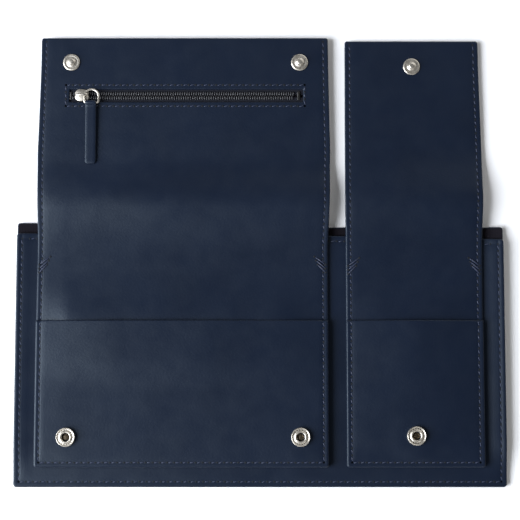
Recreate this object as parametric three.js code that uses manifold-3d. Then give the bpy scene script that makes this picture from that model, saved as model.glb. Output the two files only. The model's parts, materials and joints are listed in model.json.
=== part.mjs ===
// A leather travel document holder that lies open on a table: a ticket sleeve, and on its front
// a passport pocket and a card pocket, each under a flap that folds over and snaps shut.
// The wide flap carries a zip pocket. Millimetres, +X to the right, +Y towards the flap ends,
// +Z up from the table. The origin is the middle of the outline, on the table.
import * as THREE from "three";
import { mergeVertices } from "three/addons/utils/BufferGeometryUtils.js";
import Module from "manifold-3d";

const wasm = await Module();
wasm.setup();

// ---- driving dimensions ----
const SLEEVE = {
  width: 234, rearHeight: 125.2, frontHeight: 120, corner: 1.5, gap: 1.3, sideRise: 5, bottomRise: 8,
};
const PLY = { rear: 1.2, lining: 0.3, front: 1.1, strip: 0.9, pocket: 1.0, bag: 0.2 };
const SLIVER = 0.05; // between plies that lie on each other
const BOTTOM_MARGIN = 9.4; // from the sleeve's bottom edge to the strips
const POCKET_HEIGHT = 69.5;
// The soft band that folds, from below the fold line to its end at the flap. It leaves the sleeve's
// level at edge, beyond the sleeve's mouth.
const FOLD = { below: 6, edge: 6.7, end: 14 };
const CAP_HEIGHT = 0.9; // of the snap caps under a flap, on which it rests when open
const FLAP_TAPER = 0.2; // that each side of a flap narrows by at its free end
const SNAP = { fromEnd: 12.9, gap: 3.2 };
const SEAM = { inset: 2.5, width: 0.6, height: 0.3, flat: 2.8 };
// hingeY is the fold line's height above the sleeve's bottom edge, flap the length beyond it.
const LEFT = {
  name: "left", middle: -37.2, width: 139.6, hingeY: 114.1, flap: 103.3, snapX: [-54.5, 56.4],
  bulge: 1.4, sideRise: 4.8, bottomRise: 8, cavity: 1.5, ply: 0.95,
};
const RIGHT = {
  name: "right", middle: 73.8, width: 65.4, hingeY: 113.5, flap: 102.1, snapX: [0],
  bulge: 2.0, sideRise: 3.5, bottomRise: 5, cavity: 0.1, ply: 1.0,
};
const ZIP = {
  fromHinge: 74.1, shift: 0.9, length: 112.8, slot: 6.2, tapeWidth: 9, tapePly: 0.35, tapeEnd: 3.5,
};
const BAG = { below: 58, above: 9, mouth: 4, side: 4 }; // from the zip's middle line and its ends

// ---- materials ----
function material(color, roughness, metalness = 0) {
  return new THREE.MeshStandardMaterial({ color, roughness, metalness });
}
const LEATHER = material(0x1f2636, 0.45);
const LINING = material(0x17181c, 0.9);
const THREAD = material(0x2c3350, 0.8);
const TAPE = material(0x16181f, 0.85);
const COIL = material(0x22252c, 0.4);
const NICKEL = material(0xc9c6c0, 0.25, 1);

// ---- geometry helpers ----
function solid(geometry) {
  const bare = geometry.index ? geometry.clone() : geometry;
  bare.deleteAttribute("normal");
  bare.deleteAttribute("uv");
  const merged = mergeVertices(bare, 1e-4);
  return new wasm.Manifold(new wasm.Mesh({
    numProp: 3,
    vertProperties: new Float32Array(merged.attributes.position.array),
    triVerts: new Uint32Array(merged.index.array),
  }));
}

function geometryOf(made) {
  const { numProp, numVert, vertProperties, triVerts } = made.getMesh();
  const points = new Float32Array(numVert * 3);
  for (let i = 0; i < numVert; i++) {
    points.set(vertProperties.subarray(i * numProp, i * numProp + 3), i * 3);
  }
  const geometry = new THREE.BufferGeometry();
  geometry.setAttribute("position", new THREE.BufferAttribute(points, 3));
  geometry.setIndex(new THREE.BufferAttribute(triVerts, 1));
  geometry.computeVertexNormals();
  return geometry;
}

const joined = (parts) => geometryOf(parts.map(solid).reduce((a, b) => a.add(b)));
const cut = (part, tools) => geometryOf(tools.map(solid).reduce((a, b) => a.subtract(b), solid(part)));

function box(x0, x1, y0, y1, z0, z1) {
  return new THREE.BoxGeometry(x1 - x0, y1 - y0, z1 - z0)
    .translate((x0 + x1) / 2, (y0 + y1) / 2, (z0 + z1) / 2);
}

// A flat plate from an outline of [x, y] corners, with corner k rounded to radius radii[k].
function plate(corners, radii, z0, z1) {
  const at = corners.map(([x, y]) => new THREE.Vector2(x, y));
  const shape = new THREE.Shape();
  at.forEach((corner, k) => {
    const before = at[(k + at.length - 1) % at.length].clone().sub(corner).setLength(radii[k] || 0);
    const after = at[(k + 1) % at.length].clone().sub(corner).setLength(radii[k] || 0);
    const start = corner.clone().add(before);
    const end = corner.clone().add(after);
    if (k === 0) {
      shape.moveTo(start.x, start.y);
    } else {
      shape.lineTo(start.x, start.y);
    }
    if (radii[k]) {
      shape.quadraticCurveTo(corner.x, corner.y, end.x, end.y);
    }
  });
  shape.closePath();
  const settings = { depth: z1 - z0, bevelEnabled: false, curveSegments: 4 };
  return new THREE.ExtrudeGeometry(shape, settings).translate(0, 0, z0);
}

// The outline of a cross-section, from its [y, z] corners.
const section = (corners) => new THREE.Shape(corners.map(([y, z]) => new THREE.Vector2(y, z)));

// A bar along X from x0 to x1, from its cross-section.
function bar(shape, x0, x1) {
  const turn = new THREE.Matrix4().makeBasis(
    new THREE.Vector3(0, 1, 0), new THREE.Vector3(0, 0, 1), new THREE.Vector3(1, 0, 0),
  );
  return new THREE.ExtrudeGeometry(shape, { depth: x1 - x0, bevelEnabled: false, curveSegments: 8 })
    .applyMatrix4(turn).translate(x0, 0, 0);
}

// A turned piece standing on z = 0, from a closed profile of [radius, height] points.
function turned(profile, segments = 32) {
  const points = profile.map(([r, z]) => new THREE.Vector2(r, z));
  return new THREE.LatheGeometry(points, segments).rotateX(Math.PI / 2);
}

// A round pin along Z, to cut a bore with.
function pin(r, x, y, z0, z1) {
  return turned([[0, z0], [r, z0], [r, z1], [0, z1]], 24).translate(x, y, 0);
}

const smooth = (t) => {
  const c = Math.min(1, Math.max(0, t));
  return c * c * (3 - 2 * c);
};

function meshed(points, index) {
  const geometry = new THREE.BufferGeometry();
  geometry.setAttribute("position", new THREE.Float32BufferAttribute(points, 3));
  geometry.setIndex(index);
  return geometry;
}

// The places along one side of a crowned sheet where its height changes: flat, rising, flat.
function stations(flat, rise, length, bothEnds) {
  const up = [0, flat, ...[0.2, 0.4, 0.6, 0.8, 1].map((t) => flat + rise * t)];
  return bothEnds ? [...up, ...up.map((d) => length - d).reverse()] : [...up, length];
}

// A sheet sewn down along both sides and its bottom edge, which stands off by bulge inside them.
function crownedSheet({ x0, width, y0, height, z0, ply, bulge, flat, sideRise, bottomRise }) {
  const xs = stations(flat, sideRise, width, true);
  const ys = stations(flat, bottomRise, height, false);
  const sides = (x) => smooth((Math.min(x, width - x) - flat) / sideRise);
  const lift = (x, y) => bulge * sides(x) * smooth((y - flat) / bottomRise);
  const points = [];
  for (const top of [0, ply]) {
    for (const y of ys) {
      for (const x of xs) {
        points.push(x0 + x, y0 + y, z0 + top + lift(x, y));
      }
    }
  }
  const [nx, ny] = [xs.length, ys.length];
  const at = (i, j, top) => (top ? nx * ny : 0) + j * nx + i;
  const index = [];
  const quad = (a, b, c, d) => index.push(a, b, c, a, c, d);
  for (let j = 0; j < ny - 1; j++) {
    for (let i = 0; i < nx - 1; i++) {
      quad(at(i, j, 1), at(i + 1, j, 1), at(i + 1, j + 1, 1), at(i, j + 1, 1));
      quad(at(i, j, 0), at(i, j + 1, 0), at(i + 1, j + 1, 0), at(i + 1, j, 0));
    }
    quad(at(0, j, 0), at(0, j, 1), at(0, j + 1, 1), at(0, j + 1, 0));
    quad(at(nx - 1, j, 0), at(nx - 1, j + 1, 0), at(nx - 1, j + 1, 1), at(nx - 1, j, 1));
  }
  for (let i = 0; i < nx - 1; i++) {
    quad(at(i, 0, 0), at(i + 1, 0, 0), at(i + 1, 0, 1), at(i, 0, 1));
    quad(at(i, ny - 1, 0), at(i, ny - 1, 1), at(i + 1, ny - 1, 1), at(i + 1, ny - 1, 0));
  }
  return meshed(points, index);
}

// Points round part of a circle, from one angle to another in degrees.
function arc(cx, cy, r, from, to, steps) {
  return [...Array(steps + 1).keys()].map((k) => {
    const turn = THREE.MathUtils.degToRad(from + ((to - from) * k) / steps);
    return [cx + r * Math.cos(turn), cy + r * Math.sin(turn)];
  });
}

// A round wire bent along a closed flat path of [x, y] points.
function closedWire(path, radius, sides = 8) {
  const points = [];
  const n = path.length;
  path.forEach(([x, y], k) => {
    const [ax, ay] = path[(k + n - 1) % n];
    const [bx, by] = path[(k + 1) % n];
    const along = new THREE.Vector2(bx - ax, by - ay).normalize();
    for (let s = 0; s < sides; s++) {
      const turn = (2 * Math.PI * s) / sides;
      const out = radius * Math.cos(turn);
      points.push(x + along.y * out, y - along.x * out, radius * Math.sin(turn));
    }
  });
  const index = [];
  for (let k = 0; k < n; k++) {
    for (let s = 0; s < sides; s++) {
      const [a, b] = [k * sides + s, k * sides + ((s + 1) % sides)];
      const [c, d] = [((k + 1) % n) * sides + s, ((k + 1) % n) * sides + ((s + 1) % sides)];
      index.push(a, c, d, a, d, b);
    }
  }
  return meshed(points, index);
}

function add(group, name, geometry, look, x = 0, y = 0, z = 0) {
  const mesh = new THREE.Mesh(geometry, look);
  mesh.name = name;
  mesh.position.set(x, y, z);
  group.add(mesh);
  return mesh;
}

// ---- heights of the stack ----
const frontEdge = PLY.rear + PLY.lining + 2 * SLIVER;
const backingZ = frontEdge + SLEEVE.gap + PLY.front + SLIVER;
const baseZ = backingZ + PLY.strip + SLIVER;
const baseTop = baseZ + PLY.strip;
const pocketZ = baseTop + SLIVER;

// Where a strip's fold axis lies, and its open flap's face from that axis: the open flap rests on
// the table by its snap caps, and the closed one lies level over its pocket.
function foldOf(strip) {
  const pocketTop = pocketZ + strip.bulge + PLY.pocket;
  const closedFace = pocketTop + SNAP.gap;
  const thickness = 2 * strip.ply + strip.cavity;
  const openFace = thickness + CAP_HEIGHT;
  const axisZ = (closedFace + openFace) / 2;
  return { pocketTop, thickness, openFace, axisZ, face: openFace - axisZ };
}

// ---- the ticket sleeve ----
function addSleeve(holder) {
  const half = SLEEVE.width / 2;
  const r = SLEEVE.corner;
  const rear = (inset) => [
    [-half + inset, inset], [half - inset, inset],
    [half - inset, SLEEVE.rearHeight - inset], [-half + inset, SLEEVE.rearHeight - inset],
  ];
  const liningZ = PLY.rear + SLIVER;
  add(holder, "rear_panel", plate(rear(0), [r, r, r, r], 0, PLY.rear), LEATHER);
  add(holder, "rear_lining", plate(rear(0.4), [r, r, r, r], liningZ, liningZ + PLY.lining), LINING);
  const front = crownedSheet({
    x0: -half, width: SLEEVE.width, y0: 0, height: SLEEVE.frontHeight, z0: frontEdge,
    ply: PLY.front, bulge: SLEEVE.gap, flat: SEAM.flat + 0.6,
    sideRise: SLEEVE.sideRise, bottomRise: SLEEVE.bottomRise,
  });
  add(holder, "front_panel", front, LEATHER);
  const edge = frontEdge + PLY.front + SLIVER;
  const [outer, inner] = [SEAM.inset - SEAM.width / 2, SEAM.inset + SEAM.width / 2];
  const top = SLEEVE.frontHeight - SEAM.inset;
  const run = (x0, x1, y0, y1) => box(x0, x1, y0, y1, edge, edge + SEAM.height);
  add(holder, "sleeve_seam", joined([
    run(-half + outer, half - outer, outer, inner),
    run(-half + outer, -half + inner, outer, top),
    run(half - inner, half - outer, outer, top),
  ]), THREAD);
}

const markOf = (strip, k) => (strip.snapX.length > 1 ? `_${"ab"[k]}` : "");

// ---- what is sewn to the sleeve under one flap: base, pocket, fold and snap sockets ----
function addStripBase(holder, strip, fold) {
  const socketY = strip.hingeY - (strip.flap - SNAP.fromEnd);
  const [x0, x1] = [strip.middle - strip.width / 2, strip.middle + strip.width / 2];
  const [y0, y1] = [BOTTOM_MARGIN, strip.hingeY - FOLD.below];
  const outline = [[x0, y0], [x1, y0], [x1, y1], [x0, y1]];
  const ply = (z) => plate(outline, [1, 1, 0, 0], z, z + PLY.strip);
  add(holder, `${strip.name}_backing`, ply(backingZ), LEATHER);
  add(holder, `${strip.name}_base`, ply(baseZ), LEATHER);

  const pocket = crownedSheet({
    x0, width: strip.width, y0, height: POCKET_HEIGHT, z0: pocketZ,
    ply: PLY.pocket, bulge: strip.bulge, flat: SEAM.flat,
    sideRise: strip.sideRise, bottomRise: strip.bottomRise,
  });
  const underside = pocketZ + strip.bulge;
  const bores = strip.snapX.flatMap((x) => [
    pin(1.75, strip.middle + x, socketY, underside - 1, underside + 2),
    pin(3.8, strip.middle + x, socketY, underside - 1, underside + 0.5),
  ]);
  add(holder, `${strip.name}_pocket`, cut(pocket, bores), LEATHER);

  const course = [
    [y1 + SLIVER, baseTop], [strip.hingeY + FOLD.edge, baseTop],
    [strip.hingeY + FOLD.end, fold.openFace],
  ];
  const under = course.map(([y, z]) => [y, z - (baseTop - backingZ)]).reverse();
  add(holder, `${strip.name}_fold`, bar(section([...course, ...under]), x0, x1), LEATHER);

  strip.snapX.forEach((x, k) => {
    const names = [`${strip.name}_socket`, markOf(strip, k)];
    addSocket(holder, names, [strip.middle + x, socketY], fold.pocketTop, underside);
  });
  addLowerSeam(holder, strip, x0, x1);
}

// The thread of a strip's lower part: round the pocket's sides and bottom, and on up the base.
function addLowerSeam(holder, strip, x0, x1) {
  const [outer, inner] = [SEAM.inset - SEAM.width / 2, SEAM.inset + SEAM.width / 2];
  const pocketTopZ = pocketZ + PLY.pocket + SLIVER;
  const [bottom, mouth] = [BOTTOM_MARGIN + outer, BOTTOM_MARGIN + POCKET_HEIGHT + SLIVER];
  const top = strip.hingeY - FOLD.below;
  const onPocket = (a, b, c, d) => box(a, b, c, d, pocketTopZ, pocketTopZ + SEAM.height);
  const sides = [[x0 + outer, x0 + inner], [x1 - inner, x1 - outer]];
  add(holder, `${strip.name}_lower_seam`, joined([
    onPocket(x0 + outer, x1 - outer, bottom, bottom + SEAM.width),
    ...sides.flatMap(([a, b]) => [
      onPocket(a, b, bottom, mouth + SEAM.height),
      box(a, b, mouth, mouth + SEAM.height, pocketZ, pocketTopZ + SEAM.height),
      box(a, b, mouth, top, pocketZ, pocketZ + SEAM.height),
    ]),
  ]), THREAD);
}

// A snap socket on a pocket, its spring ring, and the rivet that holds it from inside the pocket.
function addSocket(holder, [name, mark], [x, y], top, underside) {
  const socket = turned([
    [2.05, 0.05], [4.1, 0.05], [4.65, 0.6], [4.65, 1.7], [4.3, 2.2], [3.7, 2.2], [3.3, 1.9],
    [2.6, 1.9], [2.3, 2.2], [2.05, 2.1], [2.05, 1.5], [2.75, 1.5], [2.75, 0.9], [2.05, 0.9],
    [2.05, 0.05],
  ], 40);
  const rivet = turned([
    [0, 0.05], [3.6, 0.05], [3.6, 0.4], [1.6, 0.4], [1.6, PLY.pocket + 0.2], [0, PLY.pocket + 0.2],
  ], 24);
  const spring = closedWire(arc(0, 0, 2.3, 0, 345, 23), 0.2, 6);
  add(holder, name + mark, socket, NICKEL, x, y, top);
  add(holder, `${name}_spring${mark}`, spring, NICKEL, x, y, top + 1.2);
  add(holder, `${name}_rivet${mark}`, rivet, NICKEL, x, y, underside);
}

// ---- a flap, in its own group: Y runs from the fold to its free end, Z = 0 is the fold axis ----
function addFlap(holder, strip, fold) {
  const flap = new THREE.Group();
  flap.position.set(strip.middle, strip.hingeY, fold.axisZ);
  holder.add(flap);

  const face = fold.face;
  const backTop = face - strip.ply - strip.cavity;
  const half = (y) => strip.width / 2 - FLAP_TAPER * (y / strip.flap);
  const [start, end] = [FOLD.end + 0.1, strip.flap];
  const outline = [[-half(start), start], [half(start), start], [half(end), end], [-half(end), end]];
  const studs = strip.snapX.map((x) => [x, strip.flap - SNAP.fromEnd]);
  const facePly = plate(outline, [0, 0, 1, 1], face - strip.ply, face);
  const backPly = plate(outline, [0, 0, 1, 1], backTop - strip.ply, backTop);
  const [below, above] = [face - fold.thickness - 1, face + 1];
  const holes = studs.map(([x, y]) => pin(1.7, x, y, below, above));
  const slots = strip === LEFT ? [zipSlot(below, above)] : [];
  add(flap, `${strip.name}_flap_face`, cut(facePly, [...holes, ...slots]), LEATHER);
  add(flap, `${strip.name}_flap_back`, cut(backPly, holes), LEATHER);

  studs.forEach((at, k) => {
    addStud(flap, [`${strip.name}_stud`, markOf(strip, k)], at, face, fold.thickness);
  });
  const [seamStart, seamEnd] = [start + 0.5, end - 3];
  const w = SEAM.width / 2;
  for (const [side, sign] of [["a", -1], ["b", 1]]) {
    const [xa, xb] = [seamStart, seamEnd].map((y) => sign * (half(y) - SEAM.inset));
    const run = [[xa - w, seamStart], [xa + w, seamStart], [xb + w, seamEnd], [xb - w, seamEnd]];
    const thread = plate(run, [], face + 0.1, face + 0.1 + SEAM.height);
    add(flap, `${strip.name}_flap_seam_${side}`, thread, THREAD);
  }
  return { flap, face };
}

// A snap stud on a flap's face, and the domed cap on its other side whose stem holds it.
function addStud(flap, [name, mark], [x, y], face, thickness) {
  const stud = turned([
    [0, 0.1], [3.8, 0.1], [4.1, 0.35], [4.1, 0.7], [3.7, 0.85], [2.2, 0.85], [1.45, 1.2],
    [1.45, 1.7], [1.7, 2.1], [1.6, 2.5], [1.1, 2.75], [0, 2.8],
  ]);
  const stemTop = thickness - 0.1;
  const cap = turned([
    [0, -CAP_HEIGHT], [2.5, -CAP_HEIGHT], [4.2, -0.7], [4.9, -0.4], [5.0, -0.1], [1.3, -0.1],
    [1.3, stemTop], [0, stemTop],
  ]);
  add(flap, name + mark, stud, NICKEL, x, y, face);
  add(flap, `${name}_cap${mark}`, cap, NICKEL, x, y, face - thickness);
}

// ---- the zip pocket in the left flap ----
function zipSlot(z0, z1) {
  const [a, b] = [ZIP.length / 2, ZIP.slot / 2];
  const y = ZIP.fromHinge;
  return plate([[-a, y - b], [a, y - b], [a, y + b], [-a, y + b]], [1.2, 1.2, 1.2, 1.2], z0, z1)
    .translate(ZIP.shift, 0, 0);
}

function addZip(flap, face) {
  const y = ZIP.fromHinge;
  const half = ZIP.length / 2;
  const tapeTop = face - LEFT.ply - 0.1;
  const tapeBottom = tapeTop - ZIP.tapePly;
  const coilZ = tapeTop + 0.1;
  const tapeHalf = half + ZIP.tapeEnd;
  for (const [name, sign] of [["lower", -1], ["upper", 1]]) {
    const across = (d0, d1) => [y + sign * d0, y + sign * d1].sort((a, b) => a - b);
    const tape = box(-tapeHalf, tapeHalf, ...across(0.6, 0.6 + ZIP.tapeWidth), tapeBottom, tapeTop);
    const coil = box(-half + 1.6, half - 2.4, ...across(0.45, 1.95), coilZ, face - 0.1);
    add(flap, `zip_tape_${name}`, tape, TAPE);
    add(flap, `zip_coil_${name}`, coil, COIL);
  }
  const stop = (x0, x1, reach) => box(x0, x1, y - reach, y + reach, coilZ, face);
  add(flap, "zip_top_stop", stop(-half + 0.3, -half + 1.3, 2), NICKEL);
  add(flap, "zip_bottom_stop", stop(half - 2.1, half - 0.7, 2.2), NICKEL);

  const seam = SEAM.width / 2;
  const [sx, sy] = [half + 1.4, 5.2];
  const frame = (dx, dy) => [[-dx, y - dy], [dx, y - dy], [dx, y + dy], [-dx, y + dy]];
  add(flap, "zip_seam", cut(
    plate(frame(sx + seam, sy + seam), [], face + 0.1, face + 0.1 + SEAM.height),
    [plate(frame(sx - seam, sy - seam), [], face - 1, face + 1)],
  ), THREAD);

  // The bag behind the zip is one strip of cloth: down behind the slot, and back up to the tape.
  const [bagBottom, bagRear, bagFront] = [y - BAG.below, y + BAG.above, y - BAG.mouth];
  const rearZ = face - LEFT.ply - LEFT.cavity + 0.1;
  const frontZ = tapeBottom - 0.1;
  const cloth = section([
    [bagRear, rearZ], [bagRear, rearZ + PLY.bag], [bagBottom + PLY.bag, rearZ + PLY.bag],
    [bagBottom + PLY.bag, frontZ - PLY.bag], [bagFront, frontZ - PLY.bag], [bagFront, frontZ],
    [bagBottom, frontZ], [bagBottom, rearZ],
  ]);
  add(flap, "zip_bag", bar(cloth, -half - BAG.side, half + BAG.side), LINING);
}

// The slider at the closed end, the ring through its bridge, and the leather pull on the ring.
const SLIDER = { x: -50.1, length: 6.6, width: 6.2, bridgeX: 1.35, bridgeWidth: 1.3 };
const RING = { half: 3.4, bar: -3.8, arcY: -0.75, corner: 0.8, wire: 0.5, height: 1.65 };
const TAB = { width: 5.2, length: 29.8, ply: 0.65, bore: 0.6, lean: 1.5, x: 3.1 }; // lean in degrees

function addSlider(flap, face) {
  const slider = new THREE.Group();
  slider.position.set(SLIDER.x, ZIP.fromHinge, face);
  flap.add(slider);
  const [a, b] = [SLIDER.length / 2, SLIDER.width / 2];
  const outline = [
    [-a, -b * 0.6], [-a * 0.4, -b], [a, -b * 0.8], [a, b * 0.8], [-a * 0.4, b], [-a, b * 0.6],
  ];
  const round = [1, 1.2, 0.6, 0.6, 1.2, 1];
  const arch = section([
    [-2.9, 0.7], [-2.9, 1.9], [-1.9, 2.9], [1.9, 2.9], [3.2, 1.9], [3.2, 0.7],
    [2.6, 0.7], [2.6, 1.7], [1.9, 2.35], [-1.7, 2.35], [-2.3, 1.7], [-2.3, 0.7],
  ]);
  const bridge = new THREE.ExtrudeGeometry(arch, { depth: SLIDER.bridgeWidth, bevelEnabled: false })
    .rotateX(Math.PI / 2).translate(0, SLIDER.bridgeWidth / 2, 0);
  add(slider, "slider_body", joined([
    plate(outline, round, 0.15, 0.95),
    box(-a * 0.4, a * 0.9, -b * 0.8, -2.2, -0.8, 0.4),
    box(-a * 0.4, a * 0.9, 2.2, b * 0.8, -0.8, 0.4),
    box(-a * 0.9, -a * 0.4, -0.2, 0.2, -1.7, 0.4),
    plate(outline, round, -1.9, -1.5),
    bridge,
  ]), NICKEL);

  // A D-shaped ring: a straight bar for the pull, and a round side that passes under the bridge.
  const inner = RING.half - RING.corner;
  const path = [
    ...arc(0, RING.arcY, RING.half, 0, 180, 16),
    ...arc(-inner, RING.bar + RING.corner, RING.corner, 180, 270, 4),
    ...arc(inner, RING.bar + RING.corner, RING.corner, 270, 360, 4),
  ];
  const ringX = SLIDER.bridgeX + RING.half;
  add(slider, "pull_ring", closedWire(path, RING.wire), NICKEL, ringX, 0, RING.height);

  // The pull is one strip of leather folded round the bar and glued to itself.
  const outer = TAB.bore + TAB.ply;
  const profile = new THREE.Shape();
  profile.moveTo(-outer, TAB.ply);
  profile.lineTo(-outer - 0.4, TAB.ply);
  profile.lineTo(-TAB.length, TAB.ply);
  profile.lineTo(-TAB.length, -TAB.ply);
  profile.lineTo(-outer, -TAB.ply);
  profile.absarc(0, 0, outer, -Math.PI * 0.83, Math.PI * 0.83, false);
  profile.closePath();
  profile.holes.push(new THREE.Path().absarc(0, 0, TAB.bore, 0, 2 * Math.PI, true));
  const w = TAB.width / 2;
  const strap = bar(profile, -w, w);
  const outlineOfTab = [[-w - 1, 5], [-w, -TAB.length], [w, -TAB.length], [w + 1, 5]];
  const plan = plate(outlineOfTab, [0, 1.3, 1.3, 0], -5, 5);
  const tab = add(slider, "pull_tab", geometryOf(solid(strap).intersect(solid(plan))), LEATHER,
    SLIDER.bridgeX + TAB.x, RING.bar, RING.height);
  tab.rotation.x = THREE.MathUtils.degToRad(TAB.lean);
}

// ---- the whole holder, with its outline centred on the origin ----
const holder = new THREE.Group();
const leftFold = foldOf(LEFT);
const rightFold = foldOf(RIGHT);
addSleeve(holder);
addStripBase(holder, LEFT, leftFold);
addStripBase(holder, RIGHT, rightFold);
const left = addFlap(holder, LEFT, leftFold);
addFlap(holder, RIGHT, rightFold);
const zip = new THREE.Group();
zip.position.x = ZIP.shift;
left.flap.add(zip);
addZip(zip, left.face);
addSlider(zip, left.face);
holder.position.y = -(LEFT.hingeY + LEFT.flap) / 2;

export default holder;
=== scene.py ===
"""Looks of the leather document holder: a ticket sleeve with two strips on its front, each with a
pocket and a flap that folds over and snaps shut. Lengths are in millimetres and Y runs up from the
sleeve's bottom edge, until new_piece turns them into metres in the row frame."""
import json
import math

import bpy
import numpy as np
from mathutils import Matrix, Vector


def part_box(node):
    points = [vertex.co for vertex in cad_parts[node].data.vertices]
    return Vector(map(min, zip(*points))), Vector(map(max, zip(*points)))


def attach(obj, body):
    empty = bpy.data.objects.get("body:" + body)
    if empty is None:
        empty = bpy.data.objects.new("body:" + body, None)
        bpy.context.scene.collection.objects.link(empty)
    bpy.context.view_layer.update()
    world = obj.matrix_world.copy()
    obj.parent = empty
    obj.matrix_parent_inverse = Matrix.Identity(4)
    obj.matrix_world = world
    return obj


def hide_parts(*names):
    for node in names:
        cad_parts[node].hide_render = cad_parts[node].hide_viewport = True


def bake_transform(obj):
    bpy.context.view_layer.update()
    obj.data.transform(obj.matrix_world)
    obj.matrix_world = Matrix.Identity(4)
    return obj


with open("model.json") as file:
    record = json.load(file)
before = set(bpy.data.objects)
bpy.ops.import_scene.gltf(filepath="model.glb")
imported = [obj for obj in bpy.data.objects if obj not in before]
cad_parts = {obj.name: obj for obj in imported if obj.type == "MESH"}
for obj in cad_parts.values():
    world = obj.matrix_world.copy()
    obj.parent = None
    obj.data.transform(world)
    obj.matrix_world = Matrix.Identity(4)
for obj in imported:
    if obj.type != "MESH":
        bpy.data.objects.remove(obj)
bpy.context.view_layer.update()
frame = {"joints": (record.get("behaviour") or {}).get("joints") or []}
MM = 0.001
BOTTOM_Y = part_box("rear_panel")[0].y / MM
SEED = np.random.default_rng(7)


# ---------------------------------------------------------------- places in the frame
def in_sleeve(point):
    """A point of the row frame in millimetres, with Y from the sleeve's bottom edge."""
    x, y, z = (v / MM for v in point)
    return round(x, 3), round(y - BOTTOM_Y, 3), round(z, 3)


def corners(node):
    """A CAD node's lowest and highest corners."""
    low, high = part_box(node)
    return in_sleeve(low), in_sleeve(high)


def middle(node):
    return tuple(round((a + b) / 2, 3) for a, b in zip(*corners(node)))


def pivot(joint):
    """A point on a joint's axis."""
    return in_sleeve(next(j["pos_m"] for j in frame["joints"] if j["name"] == joint))


# ---------------------------------------------------------------- geometry helpers
EDGE_STEPS = (0, 0.08, 0.2, 0.38, 0.62, 1.0)  # grid lines this far inside a rounded edge
SEAM_STEPS = (-1.1, -0.65, -0.3, 0, 0.3, 0.65, 1.1)  # and this far from a seam
CLOSEST = 0.055  # that two grid lines come to each other
EDGE_ROUND = 0.44  # radius of a worked edge, as a share of the ply's thickness


def share(value, start, length):
    """How much of a length from start a value has covered, from 0 to 1."""
    return np.clip((value - start) / length, 0, 1)


def ease(value, start, length):
    """The same, with a soft beginning and end."""
    t = share(value, start, length)
    return t * t * (3 - 2 * t)


def rounding(depth, ply):
    """How far a ply's worked edge drops, at a depth inside its outline."""
    r = EDGE_ROUND * ply
    return r - np.sqrt(np.maximum(r * r - (r - np.minimum(depth, r)) ** 2, 0))


def new_piece(name, points, faces, material, flat=False):
    """A mesh object from points in millimetres, in the sleeve's frame."""
    points = np.asarray(points, float) + [0, BOTTOM_Y, 0]
    mesh = bpy.data.meshes.new(name)
    mesh.from_pydata((points * MM).tolist(), [], [list(map(int, f)) for f in faces])
    mesh.update()
    mesh.polygons.foreach_set("use_smooth", [not flat] * len(mesh.polygons))
    mesh.materials.append(material)
    piece = bpy.data.objects.new(name, mesh)
    bpy.context.collection.objects.link(piece)
    return piece


def spaced(spots):
    """Sorted grid lines without those that come too close to the one before."""
    kept = [spots[0]]
    for spot in spots[1:]:
        if spot - kept[-1] > CLOSEST:
            kept.append(spot)
    return kept


def ticks(start, end, step, lines=(), edge=EDGE_STEPS):
    """Grid lines from start to end: regular, closer at both ends and around each line."""
    spots = list(np.linspace(start, end, max(2, int(round((end - start) / step)) + 1)))
    for offset in edge:
        spots += [start + offset, end - offset]
    for line in lines:
        spots += [line + d for d in SEAM_STEPS]
    tiny = 1e-6
    kept = spaced([start] + sorted(s for s in spots if start - tiny <= s <= end + tiny))
    kept[-1] = end
    return np.array(kept)


def inside(X, Y, box, radii):
    """Grid points pulled in to a box with rounded corners, and their depth inside its outline."""
    x0, x1, y0, y1 = box
    X, Y = X.copy(), Y.copy()
    depth = np.minimum(np.minimum(X - x0, x1 - X), np.minimum(Y - y0, y1 - Y))
    box_corners = [(x0, y0, 1, 1), (x1, y0, -1, 1), (x1, y1, -1, -1), (x0, y1, 1, -1)]
    for (cx, cy, sx, sy), r in zip(box_corners, radii):
        if not r:
            continue
        dx, dy = X - (cx + sx * r), Y - (cy + sy * r)
        near = (dx * sx < 0) & (dy * sy < 0)
        far = np.hypot(dx, dy)
        out = near & (far > r)
        X[out] = (cx + sx * r) + dx[out] / far[out] * r
        Y[out] = (cy + sy * r) + dy[out] / far[out] * r
        depth[near] = np.maximum(r - far[near], 0)
    return X, Y, np.maximum(depth, 0)


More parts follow.
